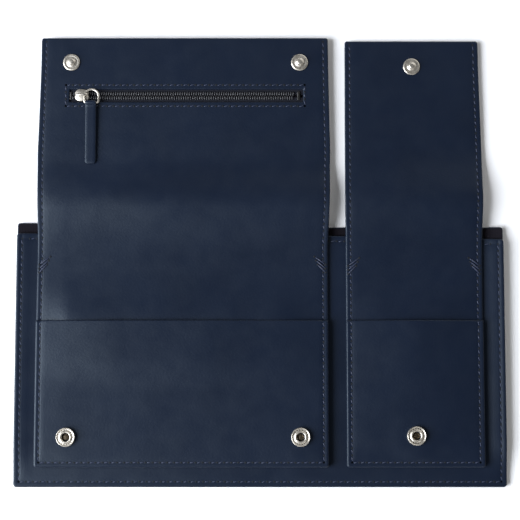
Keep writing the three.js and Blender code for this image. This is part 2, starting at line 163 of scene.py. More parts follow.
def sheet(name, xs, ys, box, radii, top, thick, material, slot=None, warp=None):
    """A sheet of leather or cloth with rounded edges. top and thick are functions of x and y, slot
    is a box cut out of it, and warp moves its points sideways at the end."""
    X, Y = np.meshgrid(xs, ys)
    X, Y, depth = inside(X, Y, box, radii)
    keep = np.ones((len(ys) - 1, len(xs) - 1), bool)
    if slot:
        a0, a1, b0, b1 = slot
        beyond_x = np.maximum(np.maximum(a0 - X, X - a1), 0)
        beyond_y = np.maximum(np.maximum(b0 - Y, Y - b1), 0)
        depth = np.minimum(depth, np.hypot(beyond_x, beyond_y))
        mid_x, mid_y = (xs[:-1] + xs[1:]) / 2, (ys[:-1] + ys[1:]) / 2
        keep &= ~np.outer((mid_y > b0) & (mid_y < b1), (mid_x > a0) & (mid_x < a1))
    height = np.broadcast_to(top(X, Y), X.shape)
    ply = np.broadcast_to(thick(X, Y), X.shape)
    drop = rounding(depth, ply)
    if warp:
        X, Y = warp(X, Y)
    upper = np.stack([X, Y, height - drop], -1).reshape(-1, 3)
    lower = np.stack([X, Y, height - ply + drop], -1).reshape(-1, 3)
    n, m = len(xs), len(upper)
    faces = []
    rows, cols = keep.shape
    for j in range(rows):
        for i in range(cols):
            if not keep[j, i]:
                continue
            a, b, c, d = j * n + i, j * n + i + 1, (j + 1) * n + i + 1, (j + 1) * n + i
            faces += [(a, b, c, d), (a + m, d + m, c + m, b + m)]
            if j == 0 or not keep[j - 1, i]:
                faces.append((a, a + m, b + m, b))
            if j == rows - 1 or not keep[j + 1, i]:
                faces.append((c, c + m, d + m, d))
            if i == 0 or not keep[j, i - 1]:
                faces.append((d, d + m, a + m, a))
            if i == cols - 1 or not keep[j, i + 1]:
                faces.append((b, b + m, c + m, c))
    used = sorted({v for f in faces for v in f})
    number = {v: k for k, v in enumerate(used)}
    points = np.concatenate([upper, lower])[used]
    return new_piece(name, points, [[number[v] for v in f] for f in faces], material)


def turned(profile, centre, segments=48):
    """Points and faces of a shape turned about Z; profile is (radius, height) from axis to axis."""
    points, faces = [], []
    count = len(profile)
    cx, cy, cz = centre
    for s in range(segments):
        turn = 2 * math.pi * s / segments
        points += [(cx + r * math.cos(turn), cy + r * math.sin(turn), cz + z) for r, z in profile]
        here, after = s * count, (s + 1) % segments * count
        for k in range(count - 1):
            faces.append((here + k, after + k, after + k + 1, here + k + 1))
    return points, faces


def gather(name, shapes, material):
    """One piece from several (points, faces)."""
    points, faces = [], []
    for shape_points, shape_faces in shapes:
        base = len(points)
        points += list(map(tuple, shape_points))
        faces += [[v + base for v in f] for f in shape_faces]
    return new_piece(name, points, faces, material)


def tube(path, radius, sides=10, closed=True, squash=1.0):
    """A round bar along a path of points; radius is one number, or one for each point."""
    path = np.asarray(path, float)
    n = len(path)
    radius = np.broadcast_to(radius, n)
    points, faces = [], []
    for k in range(n):
        before = path[(k - 1) % n] if closed or k > 0 else path[k]
        after = path[(k + 1) % n] if closed or k < n - 1 else path[k]
        along = after - before
        along = along / np.linalg.norm(along)
        side = np.cross(along, [0, 0, 1])
        if np.linalg.norm(side) < 1e-3:
            side = np.array([1.0, 0, 0])
        side /= np.linalg.norm(side)
        up = np.cross(side, along)
        for s in range(sides):
            turn = 2 * math.pi * s / sides
            out = math.cos(turn) * side + squash * math.sin(turn) * up
            points.append(path[k] + radius[k] * out)
    for k in range(n if closed else n - 1):
        ring, following = k * sides, (k + 1) % n * sides
        for s in range(sides):
            t = (s + 1) % sides
            faces.append((ring + s, ring + t, following + t, following + s))
    if not closed:
        faces.append(tuple(range(sides))[::-1])
        faces.append(tuple((n - 1) * sides + s for s in range(sides)))
    return points, faces


# ---------------------------------------------------------------- stitching
PITCH = 3.35  # from one needle hole to the next
HOLE_GAP = 1.35  # of the pitch that no thread shows over
LEAN, LEAN_SPREAD = 0.28, 0.05  # angle of a stitch to its seam, and how much that varies
SUNK, DIVE = 0.06, 0.3  # how far a stitch lies sunk in, and its ends go down further
# the dark disc that stands for a needle hole: painted shade lying on the leather, not a recess
HOLE_SHADE_PROFILE = [(0.0, 0.06), (0.46, 0.06), (0.58, 0.0), (0.5, -0.1), (0.0, -0.1)]


def stitch(x, y, z, angle, length, width=0.5, height=0.34):
    """One stitch lying along angle, its ends diving into the leather."""
    c, s = math.cos(angle), math.sin(angle)
    path, radius = [], []
    for t in (-1, -0.86, -0.55, 0, 0.55, 0.86, 1):
        reach = t * length / 2
        rise = height * 0.5 * (1 - t**4)
        path.append((x + c * reach, y + s * reach, z - SUNK + rise - DIVE * t**6))
        radius.append(width / 2 * (1 - 0.45 * abs(t) ** 3))
    return tube(path, radius, 8, False, 0.62)


def hole_shade_disc(x, y, z):
    """A dark oval disc on the leather between two stitches, painted as the shade of a needle hole.
    """
    return turned(HOLE_SHADE_PROFILE, (x, y, z), 10)


def stitch_line(start, end, surface, warp=None):
    """Stitches, and dark discs painted as the shade of their needle holes, along a straight line
    over a surface z(x, y).
    """
    (ax, ay), (bx, by) = start, end
    length = math.hypot(bx - ax, by - ay)
    count = max(1, int(round(length / PITCH)))
    angle = math.atan2(by - ay, bx - ax)

    def spot(t):
        x, y = ax + (bx - ax) * t, ay + (by - ay) * t
        moved = warp(x, y) if warp else (x, y)
        return *map(float, moved), float(surface(x, y))

    holes = [hole_shade_disc(*spot(k / count)) for k in range(count + 1)]
    threads = []
    for k in range(count):
        lean = SEED.normal(0, LEAN_SPREAD) + LEAN
        threads.append(stitch(*spot((k + 0.5) / count), angle + lean, length / count - HOLE_GAP))
    return threads, holes


def groove(distance, depth=0.16, width=0.75):
    """How far thread pulled tight presses the leather in, at a distance from the seam."""
    return depth * np.exp(-((distance / width) ** 2))


# ---------------------------------------------------------------- materials
def shader(name, **sockets):
    """A material, its nodes, and its surface shader with some inputs set."""
    material = bpy.data.materials.new(name)
    material.use_nodes = True
    nodes, links = material.node_tree.nodes, material.node_tree.links
    surface = nodes["Principled BSDF"]
    for key, value in sockets.items():
        surface.inputs[key.replace("_", " ")].default_value = value
    return material, nodes, links, surface


def mapped(nodes, links, texture, scale=(1, 1, 1)):
    """Feeds a texture from the piece's own coordinates."""
    coordinates = nodes.new("ShaderNodeTexCoord")
    mapping = nodes.new("ShaderNodeMapping")
    mapping.inputs["Scale"].default_value = scale
    links.new(coordinates.outputs["Object"], mapping.inputs["Vector"])
    links.new(mapping.outputs["Vector"], texture.inputs["Vector"])
    return texture


def noise(nodes, links, scale, detail=4.0, stretch=(1, 1, 1)):
    texture = nodes.new("ShaderNodeTexNoise")
    texture.inputs["Scale"].default_value = scale
    texture.inputs["Detail"].default_value = detail
    return mapped(nodes, links, texture, stretch).outputs["Fac"]


def ramp(nodes, links, factor, low, high, start=0.3, end=0.7):
    """A colour that follows a texture from low to high."""
    node = nodes.new("ShaderNodeValToRGB")
    node.color_ramp.elements[0].position = start
    node.color_ramp.elements[1].position = end
    node.color_ramp.elements[0].color = (*low, 1)
    node.color_ramp.elements[1].color = (*high, 1)
    links.new(factor, node.inputs["Fac"])
    return node.outputs["Color"]


def grey_ramp(nodes, links, factor, low, high, start=0.3, end=0.7):
    """A number that follows a texture from low to high."""
    return ramp(nodes, links, factor, (low,) * 3, (high,) * 3, start, end)


def bump(nodes, links, height, strength, distance, before=None):
    node = nodes.new("ShaderNodeBump")
    node.inputs["Strength"].default_value = strength
    node.inputs["Distance"].default_value = distance
    links.new(height, node.inputs["Height"])
    if before:
        links.new(before, node.inputs["Normal"])
    return node.outputs["Normal"]


def leather(name, low, high, rough=(0.37, 0.43), grain=0.3):
    """Smooth coated leather: pores, a faint pebble, soft unevenness and slightly varied dye."""
    material, nodes, links, surface = shader(name)
    surface.inputs["Specular IOR Level"].default_value = 0.35
    surface.inputs["Specular Tint"].default_value = (0.8, 0.93, 1.0, 1)
    dye = noise(nodes, links, 38, 5)
    links.new(ramp(nodes, links, dye, low, high), surface.inputs["Base Color"])
    gloss = noise(nodes, links, 120, 3)
    links.new(grey_ramp(nodes, links, gloss, *rough), surface.inputs["Roughness"])
    pebble = nodes.new("ShaderNodeTexVoronoi")
    pebble.feature = "SMOOTH_F1"
    pebble.inputs["Scale"].default_value = 1150
    mapped(nodes, links, pebble)
    uneven = bump(nodes, links, noise(nodes, links, 45, 2), 0.16, 0.0012)
    fine = bump(nodes, links, pebble.outputs["Distance"], grain, 0.00009, uneven)
    pores = bump(nodes, links, noise(nodes, links, 3200, 2), 0.25, 0.00005, fine)
    links.new(pores, surface.inputs["Normal"])
    return material


def woven(name, low, high, threads, rough=0.9):
    """Plain cloth: two sets of ribs at right angles."""
    material, nodes, links, surface = shader(name, Roughness=rough)
    surface.inputs["Specular IOR Level"].default_value = 0.2
    ribs = []
    for axis in ("X", "Y"):
        wave = nodes.new("ShaderNodeTexWave")
        wave.bands_direction = axis
        wave.inputs["Scale"].default_value = threads
        wave.inputs["Distortion"].default_value = 0.6
        wave.inputs["Detail"].default_value = 1.0
        mapped(nodes, links, wave)
        ribs.append(wave.outputs["Fac"])
    weave = nodes.new("ShaderNodeMath")
    weave.operation = "MULTIPLY"
    links.new(ribs[0], weave.inputs[0])
    links.new(ribs[1], weave.inputs[1])
    cloth = weave.outputs[0]
    links.new(ramp(nodes, links, cloth, low, high, 0.0, 0.8), surface.inputs["Base Color"])
    links.new(bump(nodes, links, cloth, 0.6, 0.00012), surface.inputs["Normal"])
    return material


def metal(name, low, high, rough):
    """Plated metal with faint polishing marks and duller patches."""
    material, nodes, links, surface = shader(name, Metallic=1.0)
    patches = noise(nodes, links, 500, 3)
    links.new(ramp(nodes, links, patches, low, high), surface.inputs["Base Color"])
    dull = noise(nodes, links, 900, 4)
    links.new(grey_ramp(nodes, links, dull, *rough), surface.inputs["Roughness"])
    scratch = noise(nodes, links, 2500, 3, (1, 8, 1))
    links.new(bump(nodes, links, scratch, 0.08, 0.00003), surface.inputs["Normal"])
    return material


def twisted(name, low, high, rough):
    """Waxed thread, or a coil's filament: fine diagonal plies."""
    material, nodes, links, surface = shader(name, Roughness=rough)
    wave = nodes.new("ShaderNodeTexWave")
    wave.bands_direction = "DIAGONAL"
    wave.inputs["Scale"].default_value = 900
    mapped(nodes, links, wave)
    plies = wave.outputs["Fac"]
    links.new(ramp(nodes, links, plies, low, high, 0.1, 0.9), surface.inputs["Base Color"])
    links.new(bump(nodes, links, plies, 0.5, 0.00008), surface.inputs["Normal"])
    return material


LEATHER = leather("navy_leather", (0.0030, 0.0064, 0.0170), (0.0038, 0.0078, 0.0200))
LEATHER_BACK = leather(
    "navy_leather_back", (0.006, 0.010, 0.023), (0.009, 0.014, 0.031), (0.5, 0.62), 0.5
)
LINING = woven("dark_lining", (0.002, 0.0015, 0.004), (0.007, 0.005, 0.009), 420)
THREAD = twisted("navy_thread", (0.007, 0.011, 0.030), (0.025, 0.036, 0.076), 0.5)
# near-black leather for the needle-hole discs: painted shade, not the colour of any part
HOLE_SHADE = leather("needle_dark", (0.002, 0.002, 0.004), (0.004, 0.004, 0.007), (0.7, 0.8), 0.1)
TAPE = woven("zip_tape", (0.005, 0.006, 0.010), (0.018, 0.020, 0.030), 650)
COIL = twisted("zip_coil", (0.018, 0.019, 0.022), (0.060, 0.062, 0.068), 0.3)
NICKEL = metal("nickel", (0.55, 0.515, 0.45), (0.68, 0.64, 0.565), (0.34, 0.46))
# a darker, browner copy of the nickel for the spring, the rivet and the dots in the socket: painted
# shade
NICKEL_IN_SHADE = metal("nickel_shade", (0.10, 0.08, 0.055), (0.19, 0.155, 0.11), (0.35, 0.5))
STOP_METAL = metal("stop_metal", (0.03, 0.03, 0.03), (0.06, 0.06, 0.06), (0.4, 0.55))

# ---------------------------------------------------------------- the ticket sleeve
HALF, REAR, _ = corners("rear_panel")[1]
FRONT = corners("front_panel")[1][1]
SEAM_IN = 2.6  # from the sleeve's edge to its stitches
REAR_PLY, LINING_PLY, FRONT_PLY = 1.2, 0.3, 1.1
LINING_TOP, FRONT_TOP = 1.55, 2.7
SEWN = 2.5  # height above the bottom edge up to which the panels lie flat on each other
FULL = 0.5  # that the front panel stands off further up
LEFT_CURL, RIGHT_CURL = 1.2, 2.0  # that the side margins turn up


def fullness(X, Y):
    """How far the front panel stands off its sewn lower edge."""
    return FULL * ease(Y, SEWN, 20)


def curl(X, Y):
    """How far the sleeve's left and right margins turn up."""
    lift = RIGHT_CURL * ease(X, HALF - 11.5, 12.5) + LEFT_CURL * (1 - ease(X, -HALF, 10.5))
    return lift * ease(Y, SEWN, 20)


def sleeve_top(X, Y):
    """Top of the front panel, with the dents of its seams."""
    side = np.minimum(X + HALF, HALF - X)
    seam = groove(np.minimum(side, Y) - SEAM_IN) + groove(FRONT - Y - SEAM_IN, 0.12)
    return FRONT_TOP + fullness(X, Y) + curl(X, Y) - seam


def sleeve_ply(X, Y):
    """The front panel's thickness, with the filling that closes its sides."""
    side = np.minimum(X + HALF, HALF - X)
    return FRONT_PLY + fullness(X, Y) * (1 - ease(side, 2, 3))


def flat_at(z):
    return lambda X, Y: np.full(np.shape(X), float(z))


def rear_outline(X, Y):
    """The rear panel's top edge runs lower to the right."""
    return X, Y + ease(Y, 110, 15) * (1.0 - 2.1 * ease(X, -105, 120))


def front_outline(X, Y):
    """The front panel's mouth runs lower to the right too."""
    across = (X + HALF) / (2 * HALF)
    return X, Y + ease(Y, 100, 17) * (1.0 - 2.9 * across**2)


def sleeve():
    xs = ticks(-HALF, HALF, 3.0, (-HALF + SEAM_IN, HALF - SEAM_IN))
    rear = sheet("rear_panel_leather", xs, ticks(0, REAR, 4), (-HALF, HALF, 0, REAR), (1.5,) * 4,
                 lambda X, Y: REAR_PLY + curl(X, Y), flat_at(REAR_PLY), LEATHER_BACK,
                 warp=rear_outline)
    inset = 0.5
    x0, x1, y0, y1 = inner = (-HALF + inset, HALF - inset, inset, REAR - inset)
    cloth = sheet("sleeve_lining", ticks(x0, x1, 6), ticks(y0, y1, 6), inner, (1.2,) * 4,
                  lambda X, Y: LINING_TOP + curl(X, Y), flat_at(LINING_PLY), LINING,
                  warp=rear_outline)
    ys = ticks(0, FRONT, 3.0, (SEAM_IN, FRONT - SEAM_IN))
    front = sheet("front_panel_leather", xs, ys, (-HALF, HALF, 0, FRONT), (1.5,) * 4, sleeve_top,
                  sleeve_ply, LEATHER, warp=front_outline)
    side, mouth = HALF - SEAM_IN, FRONT - SEAM_IN
    runs = [((-side, SEAM_IN), (side, SEAM_IN)), ((-side, mouth), (-side, SEAM_IN)),
            ((side, SEAM_IN), (side, mouth))]
    # along the mouth, only where the strips leave the front panel bare
    for start, end in ((-side + 3.5, -107.5), (33.2, 40.6), (107.2, side - 3.5)):
        runs.append(((start, mouth), (end, mouth)))
    threads, holes = [], []
    for start, end in runs:
        t, h = stitch_line(start, end, sleeve_top, front_outline)
        threads += t
        holes += h
    seam = gather("sleeve_stitches", threads, THREAD)
    # the needle holes' darkness is painted shade on small discs
    marks = gather("sleeve_needle_holes", holes, HOLE_SHADE)
    for piece, node, slot in ((rear, "rear_panel", "leather"), (cloth, "rear_lining", "lining"),
                              (front, "front_panel", "leather"), (seam, "sleeve_seam", "thread"),
                              (marks, None, "leather")):
        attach(piece, "holder")
        if node:
            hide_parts(node)


sleeve()

# ---------------------------------------------------------------- strips and pockets
(_, BOTTOM, _), (_, MOUTH, _) = corners("left_pocket")
BASE_TOP = 5.1  # of the strips where they are sewn to the sleeve
SIDE_SEAM = 2.4  # from a strip's edge to its stitches
BACK_GAP = 0.04  # between a flap's two plies
# Distances beyond the fold, where a strip's spread gives how far its edges stray sideways.
SPREAD_AT = (-30, 0, 12, 24, 46, 60, 88, 103)


class Strip:
    """A long strip of leather: its lower part is sewn to the sleeve under a pocket, and the rest is
    the flap beyond the hinge. Heights are above the table. rise and fall are where the crest of the
    open flap begins and ends, each as a distance beyond the hinge and a length."""

    def __init__(self, name, marks, **shape):
        self.name, self.marks = name, marks
        (self.x0, _, _), (self.x1, _, _) = corners(f"{name}_base")
        self.middle = (self.x0 + self.x1) / 2
        self.hinge = pivot(f"{name}_flap_fold")[1]
        _, self.end, self.face = corners(f"{name}_flap_face")[1]
        self.stud_y = middle(f"{name}_stud{marks[0]}")[1]
        self.socket_y = middle(f"{name}_socket{marks[0]}")[1]
        self.snaps = [middle(f"{name}_socket{mark}")[0] for mark in marks]
        for key, value in shape.items():
            setattr(self, key, value)

    def side(self, X):
        return np.minimum(X - self.x0, self.x1 - X)

    def warp(self, X, Y):
        """The flap spreads a little past the fold and leans slightly to the right."""
        s = Y - self.hinge
        left, right = (np.interp(s, SPREAD_AT, offsets) for offsets in self.spread)
        across = (X - self.x0) / (self.x1 - self.x0)
        return X + left + (right - left) * across, Y - self.trim * ease(s, 70, 33)

    def top(self, X, Y):
        """The strip's upper face, from its lower end over the fold to the flap's free end."""
        s = Y - self.hinge
        fall = ease(s, *self.fall)
        level = BASE_TOP + (self.face - BASE_TOP) * fall
        across = 1 - share(X, self.x0, self.slope)
        crest = self.crest * ease(s, *self.rise) * (1 - fall) * (1 - 0.85 * across**1.2)
        droop = ease(s, -14, 12) * (1 - ease(s, 16, 20))
        crest -= self.droop * droop * (1 - ease(X, self.x0, 13))
        swell = share(-s, 12, 21) ** 1.2 * (1 - ease(-s, 37, 9))
        crest += self.swell * swell * ease(X, self.x0 + 1, 17) * ease(self.x1 - X, 1, 30)
        edge = np.minimum(self.side(X), self.end - Y)
        crown = self.crown * (1 - ease(edge, 0, 11)) * ease(s, 12, 14)
        low = (FULL - fullness(X, Y)) * (1 - ease(s, 2, 12))
        seam = groove(self.side(X) - SIDE_SEAM, 0.13)
        return level + crest - crown - low - seam

    def thick(self, X, Y):
        """Two plies where it is sewn down, one where it bends, with a turned edge at the end."""
        doubled = 1.75
        lower = doubled + (self.ply - doubled) * ease(Y - self.hinge, 8, 6)
        return lower + self.ply * ease(Y - self.end, -2.2, 1.6)

    def back_top(self, X, Y):
        """The upper face of the flap's back ply, which leaves room for the bag inside its edges."""
        edge = np.minimum(self.side(X), np.minimum(self.end - Y, Y - self.hinge - 14))
        return self.top(X, Y) - self.ply - BACK_GAP - self.hollow * ease(edge, 0, 11)

    def pocket_top(self, X, Y):
        """The pocket's upper face: sewn down at its sides and bottom, full inside them, and
        sloping up from its left side where it is open."""
        sewn = 2.9
        along = 1 - share(Y - BOTTOM, sewn, 20)
        near, far = (1 - share(self.side(X), sewn, reach) for reach in self.reach)
        right = 1 - share(self.x1 - X, sewn, min(60, self.x1 - self.middle - 3))
        shut = self.bulge * (1 - near**1.8) * (1 - along**2.3)
        open_by = self.mouth * (1 - np.where(X < self.middle, far**1.3, right**1.2))
        full = shut + (open_by - shut) * ease(Y, 45, 16)
        for x in self.snaps:
            mound = 1 - ease(np.hypot(X - x, Y - self.socket_y), 4.6, 9.4)
            full = full + (self.bulge - full) * mound
        low = (FULL - fullness(X, Y)) * np.clip(1 - full / self.bulge, 0, 1)
        edge = np.minimum(self.side(X), Y - BOTTOM)
        return self.pocket_z + full - low - groove(edge - SIDE_SEAM, 0.14)

    def pocket_ply(self, X, Y):
        """The pocket's thickness, with the filling that its sewn edges stand on."""
        edge = np.minimum(self.side(X), Y - BOTTOM)
        return 1.0 + (self.pocket_z - 0.98 - BASE_TOP) * (1 - ease(edge, 2.6, 2))

    def seam_height(self, X, Y):
        """Height of the face that the side seams lie on."""
        return self.pocket_top(X, Y) if Y < MOUTH - 0.8 else self.top(X, Y)


LEFT = Strip(
    "left", ("_a", "_b"), ply=0.95, crown=0.1, hollow=1.4, trim=0.5,
    pocket_z=7.05, bulge=0.15, mouth=1.8, reach=(14, 33),
    swell=1.9, crest=3.4, rise=(-3, 30), fall=(20, 23), slope=54, droop=0.35,
    spread=((0, 0.2, 0.0, -0.35, -0.65, -0.2, 0.5, 0.6), (0, 0, 0.5, 1.0, 1.4, 1.1, 0.6, 0.5)),
)
RIGHT = Strip(
    "right", ("",), ply=1.0, crown=0.1, hollow=0.2, trim=0.0,
    pocket_z=6.6, bulge=1.1, mouth=1.8, reach=(30, 30),
    swell=0.9, crest=2.7, rise=(4, 24), fall=(18, 32), slope=40, droop=0.3,
    spread=((0, 0, 0, 0, 0.1, 0.1, 0.2, 0.2), (0, 0.2, 0.45, 0.8, 0.9, 0.6, -0.1, -0.2)),
)
BRIDGE_X, ZIP_Y, RING_Z = pivot("pull_ring_swing")
ZIP_X0 = round(corners("zip_top_stop")[0][0] - 0.3, 3)
ZIP_X1 = round(corners("zip_bottom_stop")[1][0] + 0.7, 3)
SLOT = (ZIP_X0, ZIP_X1, ZIP_Y - 3.1, ZIP_Y + 3.1)


def tacks(s, x):
    """Three slanting stitches across a side seam, just below the fold."""
    inward = 1 if x < s.middle else -1
    threads, holes = [], []
    for shift in (0, 1.9, 3.8):
        high = (x + inward * (4.1 - shift * 0.4), s.hinge - 4.6 - shift)
        low = (x - inward * 1.2, s.hinge - 8.4 - shift)
        angle = math.atan2(low[1] - high[1], low[0] - high[0])
        spot = ((high[0] + low[0]) / 2, (high[1] + low[1]) / 2)
        threads.append(stitch(*spot, float(s.top(*spot)) + 0.1, angle, 5.6, 0.62, 0.5))
        # dark discs at both ends, painted as the shade of the needle holes
        holes += [hole_shade_disc(*end, float(s.top(*end)) + 0.02) for end in (high, low)]
    return threads, holes


def strip_body(s, seams, slot):
    """The strip's outer leather, from the sewn base over the fold to the flap's free end."""
    slot_x, slot_y = (slot[:2], slot[2:]) if slot else ((), ())
    xs = ticks(s.x0, s.x1, 3.0, (*seams, *slot_x))
    fold = np.arange(s.hinge - 10, s.hinge + 20, 1.0)
    ys = ticks(BOTTOM, s.end, 3.2, slot_y, edge=(*EDGE_STEPS, 1.5, 2.2))
    ys = np.array(sorted({round(v, 3) for v in [*ys, *fold]}))
    ys = ys[np.concatenate([[True], np.diff(ys) > CLOSEST])]
    return sheet(f"{s.name}_strip_leather", xs, ys, (s.x0, s.x1, BOTTOM, s.end), (1.2,) * 4, s.top,
                 s.thick, LEATHER, slot, s.warp)


def strip(s, slot=None):
    seams = (s.x0 + SIDE_SEAM, s.x1 - SIDE_SEAM)
    low_seam = BOTTOM + SIDE_SEAM
    body = strip_body(s, seams, slot)
    y0, y1 = s.hinge + 14.2, s.end - 1.3
    back = sheet(f"{s.name}_flap_back_leather", ticks(s.x0, s.x1, 4, seams), ticks(y0, y1, 4),
                 (s.x0, s.x1, y0, y1), (1.2,) * 4, s.back_top, flat_at(s.ply), LEATHER_BACK,
                 warp=s.warp)
    pocket = sheet(f"{s.name}_pocket_leather", ticks(s.x0, s.x1, 2.6, seams),
                   ticks(BOTTOM, MOUTH, 2.2, (low_seam,)), (s.x0, s.x1, BOTTOM, MOUTH),
                   (1.2, 1.2, 0, 0), s.pocket_top, s.pocket_ply, LEATHER)
    threads, holes = [], []
    for x in seams:
        side_seam = stitch_line((x, low_seam), (x, s.end - 2.0), s.seam_height, s.warp)
        for t, h in (side_seam, tacks(s, x)):
            threads += t
            holes += h
    t, h = stitch_line((seams[0], low_seam), (seams[1], low_seam), s.pocket_top)
    thread = gather(f"{s.name}_strip_stitches", threads + t, THREAD)
    # dark discs painted as the shade of the needle holes
    marks = gather(f"{s.name}_strip_needle_holes", holes + h, HOLE_SHADE)

    flap = f"{s.name}_flap"
    for piece in (body, thread, marks):
        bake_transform(piece)
    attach(back, flap)
    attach(pocket, "holder")
    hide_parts(*(f"{s.name}_{part}" for part in ("backing", "base", "fold", "flap_face")))
    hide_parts(f"{s.name}_flap_back")
    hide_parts(f"{s.name}_pocket")
    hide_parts(f"{s.name}_lower_seam", f"{flap}_seam_a", f"{flap}_seam_b")


strip(LEFT, SLOT)
strip(RIGHT)

# ---------------------------------------------------------------- snaps
# Turned profiles as (radius, height) above the face that each part sits on.
STUD = [(0, 0.1), (3.75, 0.1), (4.02, 0.22), (4.1, 0.42), (4.02, 0.64), (3.8, 0.78), (3.45, 0.84),
        (3.1, 0.78), (2.75, 0.72), (2.3, 0.76), (1.9, 0.9), (1.55, 1.15), (1.45, 1.45), (1.5, 1.75),
        (1.68, 2.0), (1.7, 2.2), (1.55, 2.5), (1.2, 2.7), (0.7, 2.79), (0, 2.8)]
SOCKET = [(2.0, 0.06), (4.1, 0.06), (4.4, 0.3), (4.52, 0.7), (4.52, 1.3), (4.5, 1.7), (4.4, 2.0),
          (4.25, 2.15), (4.1, 2.1), (4.0, 1.92), (3.85, 1.86), (3.1, 1.84), (2.95, 1.94),
          (2.75, 2.12), (2.5, 2.2), (2.2, 2.14), (2.05, 1.95), (2.05, 1.5), (2.75, 1.45),
          (2.75, 0.95), (2.0, 0.9), (2.0, 0.06)]
CAP_HEIGHT = 0.9
CAP = [(0, -CAP_HEIGHT), (2.0, -0.88), (3.4, -0.78), (4.4, -0.55), (4.9, -0.3), (5.0, -0.12),
       (4.8, -0.05), (0, -0.05)]
RIVET = [(0, 0.05), (3.3, 0.05), (3.6, 0.15), (3.6, 0.35), (3.4, 0.42), (1.6, 0.42), (1.6, 1.1),
         (1.45, 1.2), (0, 1.2)]
BEAD = [(0, -0.1), (0.3, -0.05), (0.3, 0.03), (0.2, 0.06), (0, 0.06)]
BEADS, BEAD_CIRCLE, BEAD_Z = 18, 3.48, 1.84
SPRING = {"circle": 2.3, "wire": 0.2, "height": 1.2, "steps": 32}
PLY_UNDER_SOCKET = 1.0


def beads(x, y, z):
    """A plain ring of small dark dots on the socket's face, in place of any mark, drawn in the
    darker nickel that is painted shade.
    """
    shapes = []
    for k in range(BEADS):
        turn = 2 * math.pi * k / BEADS
        spot = (x + BEAD_CIRCLE * math.cos(turn), y + BEAD_CIRCLE * math.sin(turn), z + BEAD_Z)
        shapes.append(turned(BEAD, spot, 8))
    return shapes


def spring_ring(x, y, z):
    r = SPRING["circle"]
    turns = np.linspace(0, 2 * math.pi, SPRING["steps"] + 1)[:-1]
    circle = [(x + r * math.cos(a), y + r * math.sin(a), z + SPRING["height"]) for a in turns]
    return tube(circle, SPRING["wire"], 8)


def snaps(s):
    top = s.pocket_z + s.bulge
    for x, mark in zip(s.snaps, s.marks):
        flap, at_stud, at_socket = f"{s.name}_flap", (x, s.stud_y), (x, s.socket_y)
        rivet = [turned(RIVET, (*at_socket, top - PLY_UNDER_SOCKET))] + beads(*at_socket, top)
        for part, body, node, shapes, material in (
            ("stud", flap, "stud", [turned(STUD, (*at_stud, s.face))], NICKEL),
            ("cap", flap, "stud_cap", [turned(CAP, (*at_stud, CAP_HEIGHT))], NICKEL),
            ("socket", "holder", "socket", [turned(SOCKET, (*at_socket, top))], NICKEL),
            # the spring and rivet in the socket's bore take the darker nickel, painted as the
            # bore's shade
            ("spring", "holder", "socket_spring", [spring_ring(*at_socket, top)], NICKEL_IN_SHADE),
            ("rivet", "holder", "socket_rivet", rivet, NICKEL_IN_SHADE),
        ):
            piece = gather(f"{s.name}_snap_{part}{mark}", shapes, material)
            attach(piece, body)
            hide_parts(f"{s.name}_{node}{mark}")


snaps(LEFT)
snaps(RIGHT)


# ---------------------------------------------------------------- the zip
def strap(name, path, width, thick, material, round_ends, centre_x, bevel):
    """A soft strap bent along a path of (y, z) points, centred on x = centre_x. Its edges are
    rounded, and its upper face falls away towards them by bevel."""
    path = np.asarray(path, float)
    run = np.concatenate([[0], np.cumsum(np.hypot(*np.diff(path, axis=0).T))])
    across = ticks(-width / 2, width / 2, width / 6, edge=(0, 0.06, 0.14, 0.26, 0.42))
    depth = np.minimum(across + width / 2, width / 2 - across)
    drop = rounding(depth, thick)
    upper, lower = [], []
    for k, (y, z) in enumerate(path):
        along = path[min(k + 1, len(path) - 1)] - path[max(k - 1, 0)]
        along = along / np.hypot(*along)
        ny, nz = -along[1], along[0]
        near = min(run[k], run[-1] - run[k])
        half = width / 2
        if near < round_ends:
            half -= round_ends - math.sqrt(round_ends**2 - (round_ends - near) ** 2)
        end_drop = float(rounding(near, thick))
        for v, edge_drop, inset in zip(across, drop, depth):
            rise = thick / 2 - max(edge_drop, end_drop)
            fall = bevel * (1 - ease(min(inset, near), 0, 0.9))
            x = centre_x + v * half / (width / 2)
            upper.append((x, y + ny * (rise - fall), z + nz * (rise - fall)))
            lower.append((x, y - ny * rise, z - nz * rise))
    n, m = len(across), len(upper)
    faces = []
    for j in range(len(path) - 1):
        for i in range(n - 1):
            a, b, c, d = j * n + i, j * n + i + 1, (j + 1) * n + i + 1, (j + 1) * n + i
            faces += [(a, b, c, d), (a + m, d + m, c + m, b + m)]
        for i, flip in ((0, False), (n - 1, True)):
            a, d = j * n + i, (j + 1) * n + i
            side = (a, d, d + m, a + m)
            faces.append(side[::-1] if flip else side)
    last = (len(path) - 1) * n
    for i in range(n - 1):
        faces.append((i, i + m, i + 1 + m, i + 1))
        faces.append((last + i, last + i + 1, last + i + 1 + m, last + i + m))
    return new_piece(name, upper + lower, faces, material)


def bevelled(name, parts, material, bevel):
    """One metal piece of flat plates: each part is (outline, lowest z, highest z)."""
    shapes = []
    for outline, z0, z1 in parts:
        points, faces = [], []
        centre = np.mean(outline, axis=0)
        small = bevel * 0.3
        levels = [(z0, bevel), (z0 + small, small), (z0 + bevel, 0), (z1 - bevel, 0),
                  (z1 - small, small), (z1, bevel)]
        n = len(outline)
        for z, draw in levels:
            for x, y in outline:
                away = np.hypot(x - centre[0], y - centre[1])
                f = 1 - draw / away
                points.append((centre[0] + (x - centre[0]) * f, centre[1] + (y - centre[1]) * f, z))
        for level in range(len(levels) - 1):
            for k in range(n):
                a, b = level * n + k, level * n + (k + 1) % n
                faces.append((a, b, b + n, a + n))
        faces.append(tuple(range(n))[::-1])
        faces.append(tuple((len(levels) - 1) * n + k for k in range(n)))
        shapes.append((points, faces))
    return gather(name, shapes, material)


